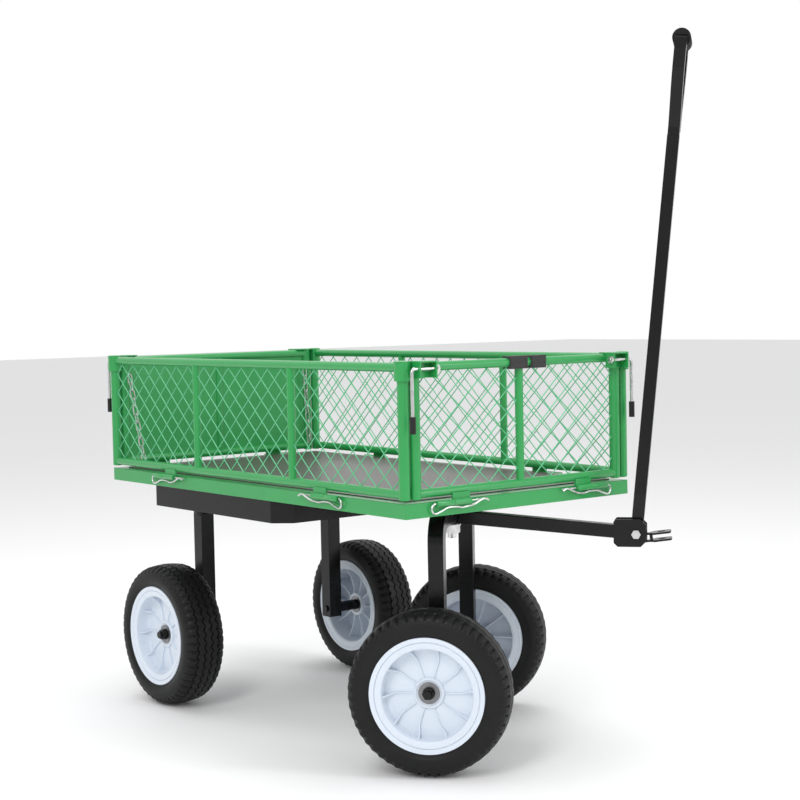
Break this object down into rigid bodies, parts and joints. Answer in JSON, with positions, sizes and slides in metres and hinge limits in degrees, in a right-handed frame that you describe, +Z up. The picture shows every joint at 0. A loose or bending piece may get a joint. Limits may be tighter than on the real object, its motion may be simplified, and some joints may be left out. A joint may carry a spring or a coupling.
{
  "type": "garden cart",
  "caption": "Flatbed garden cart with fold-down mesh sides on pinned hinges, swinging corner latches, pneumatic wheels, steered front axle and an upright loop handle with tow tongue.",
  "frame": {"origin": "centre of the deck's flat top face; the ground is 0.55 m below it", "axes": "+Z up, +X forward towards the drawbar and handle, +Y to the cart's left"},
  "size_m": [1.3828, 0.7254, 1.4806],
  "materials": {
    "green_paint": "satin powder coat",
    "green_wire": "satin powder coat",
    "deck_coat": "fine-patterned coated sheet",
    "black_paint": "semi-gloss black",
    "zinc": "zinc plated",
    "bearing_steel": "dull steel",
    "hub_plastic": "glossy white",
    "tyre_rubber": "matt black rubber",
    "grip_foam": "black foam grip",
    "black_vinyl": "black vinyl",
    "strap_fabric": "black webbing"
  },
  "bodies": {
    "chassis": {"tray_frame": "green_paint", "deck_sheet": "deck_coat", "cross_members": "green_paint", "undercarriage_box": "black_paint", "rear_fork": "black_paint", "rear_axle": "black_paint", "rear_axle_nuts": "black_paint", "king_plate": "black_paint", "kingpin": "zinc", "chain_right": "zinc", "chain_left": "zinc"},
    "front_axle": {"front_fork": "black_paint", "front_axle": "black_paint", "front_axle_nuts": "black_paint", "drawbar": "black_paint", "clevis": "black_paint", "clevis_bolt": "zinc"},
    "handle": {"handle_tube": "black_paint", "tow_tongue": "black_paint", "handle_grip": "grip_foam", "handle_plug": "black_vinyl"},
    "panel_right": {"panel_right_frame": "green_paint", "panel_right_mesh": "green_wire"},
    "panel_left": {"panel_left_frame": "green_paint", "panel_left_mesh": "green_wire"},
    "panel_front": {"panel_front_frame": "green_paint", "panel_front_mesh": "green_wire", "latch_brackets_front": "green_paint", "panel_strap": "strap_fabric"},
    "panel_back": {"panel_back_frame": "green_paint", "panel_back_sheet": "green_paint", "latch_brackets_back": "green_paint"},
    "wheel_rear_right": {"tyre_rear_right": "tyre_rubber", "hub_rear_right": "hub_plastic", "bearings_rear_right": "bearing_steel"},
    "wheel_rear_left": {"tyre_rear_left": "tyre_rubber", "hub_rear_left": "hub_plastic", "bearings_rear_left": "bearing_steel"},
    "wheel_front_right": {"tyre_front_right": "tyre_rubber", "hub_front_right": "hub_plastic", "bearings_front_right": "bearing_steel"},
    "wheel_front_left": {"tyre_front_left": "tyre_rubber", "hub_front_left": "hub_plastic", "bearings_front_left": "bearing_steel"},
    "latch_front_right": {"latch_front_right": "zinc", "latch_grip_front_right": "black_vinyl"},
    "latch_front_left": {"latch_front_left": "zinc", "latch_grip_front_left": "black_vinyl"},
    "latch_back_right": {"latch_back_right": "zinc", "latch_grip_back_right": "black_vinyl"},
    "latch_back_left": {"latch_back_left": "zinc", "latch_grip_back_left": "black_vinyl"},
    "clip_right_front": {"clip_right_front": "zinc"},
    "clip_right_back": {"clip_right_back": "zinc"},
    "clip_left_front": {"clip_left_front": "zinc"},
    "clip_left_back": {"clip_left_back": "zinc"},
    "clip_front_right": {"clip_front_right": "zinc"},
    "clip_front_left": {"clip_front_left": "zinc"},
    "clip_back_right": {"clip_back_right": "zinc"},
    "clip_back_left": {"clip_back_left": "zinc"}
  },
  "joints": [
    {"name": "steering", "type": "hinge", "parent": "chassis", "child": "front_axle", "pos_m": [0.35, 0, -0.061], "axis": [0, 0, 1], "range_deg": [-80, 5]},
    {"name": "handle_fold", "type": "hinge", "parent": "front_axle", "child": "handle", "pos_m": [0.65029, 0.25197, -0.105], "axis": [-0.6428, 0.766, 0], "range_deg": [0, 105]},
    {"name": "wheel_rear_right_spin", "type": "hinge", "parent": "chassis", "child": "wheel_rear_right", "pos_m": [-0.354, -0.282, -0.385], "axis": [0, 1, 0], "continuous": true},
    {"name": "wheel_rear_left_spin", "type": "hinge", "parent": "chassis", "child": "wheel_rear_left", "pos_m": [-0.354, 0.282, -0.385], "axis": [0, 1, 0], "continuous": true},
    {"name": "wheel_front_right_spin", "type": "hinge", "parent": "front_axle", "child": "wheel_front_right", "pos_m": [0.53127, -0.21602, -0.385], "axis": [-0.6428, 0.766, 0], "continuous": true},
    {"name": "wheel_front_left_spin", "type": "hinge", "parent": "front_axle", "child": "wheel_front_left", "pos_m": [0.16873, 0.21602, -0.385], "axis": [-0.6428, 0.766, 0], "continuous": true},
    {"name": "panel_right_fold", "type": "hinge", "parent": "chassis", "child": "panel_right", "pos_m": [0, -0.3115, -0.0065], "axis": [1, 0, 0], "range_deg": [0, 150]},
    {"name": "panel_left_fold", "type": "hinge", "parent": "chassis", "child": "panel_left", "pos_m": [0, 0.3115, -0.0065], "axis": [-1, 0, 0], "range_deg": [0, 150]},
    {"name": "panel_front_fold", "type": "hinge", "parent": "chassis", "child": "panel_front", "pos_m": [0.5815, 0, -0.0065], "axis": [0, 1, 0], "range_deg": [0, 10]},
    {"name": "panel_back_fold", "type": "hinge", "parent": "chassis", "child": "panel_back", "pos_m": [-0.5815, 0, -0.0065], "axis": [0, -1, 0], "range_deg": [0, 90]},
    {"name": "latch_front_right_swing", "type": "hinge", "parent": "panel_front", "child": "latch_front_right", "pos_m": [0.595, -0.262, 0.258], "axis": [0, -1, 0], "range_deg": [0, 90]},
    {"name": "latch_front_left_swing", "type": "hinge", "parent": "panel_front", "child": "latch_front_left", "pos_m": [0.595, 0.262, 0.258], "axis": [0, -1, 0], "range_deg": [0, 90]},
    {"name": "latch_back_right_swing", "type": "hinge", "parent": "panel_back", "child": "latch_back_right", "pos_m": [-0.595, -0.262, 0.258], "axis": [0, 1, 0], "range_deg": [0, 90]},
    {"name": "latch_back_left_swing", "type": "hinge", "parent": "panel_back", "child": "latch_back_left", "pos_m": [-0.595, 0.262, 0.258], "axis": [0, 1, 0], "range_deg": [0, 90]},
    {"name": "clip_right_front_pull", "type": "slide", "parent": "chassis", "child": "clip_right_front", "axis": [1, 0, 0], "range_m": [0, 0.14]},
    {"name": "clip_right_back_pull", "type": "slide", "parent": "chassis", "child": "clip_right_back", "axis": [-1, 0, 0], "range_m": [0, 0.14]},
    {"name": "clip_left_front_pull", "type": "slide", "parent": "chassis", "child": "clip_left_front", "axis": [1, 0, 0], "range_m": [0, 0.14]},
    {"name": "clip_left_back_pull", "type": "slide", "parent": "chassis", "child": "clip_left_back", "axis": [-1, 0, 0], "range_m": [0, 0.14]},
    {"name": "clip_front_right_pull", "type": "slide", "parent": "chassis", "child": "clip_front_right", "axis": [0, -1, 0], "range_m": [0, 0.14]},
    {"name": "clip_front_left_pull", "type": "slide", "parent": "chassis", "child": "clip_front_left", "axis": [0, 1, 0], "range_m": [0, 0.14]},
    {"name": "clip_back_right_pull", "type": "slide", "parent": "chassis", "child": "clip_back_right", "axis": [0, -1, 0], "range_m": [0, 0.14]},
    {"name": "clip_back_left_pull", "type": "slide", "parent": "chassis", "child": "clip_back_left", "axis": [0, 1, 0], "range_m": [0, 0.14]}
  ]
}
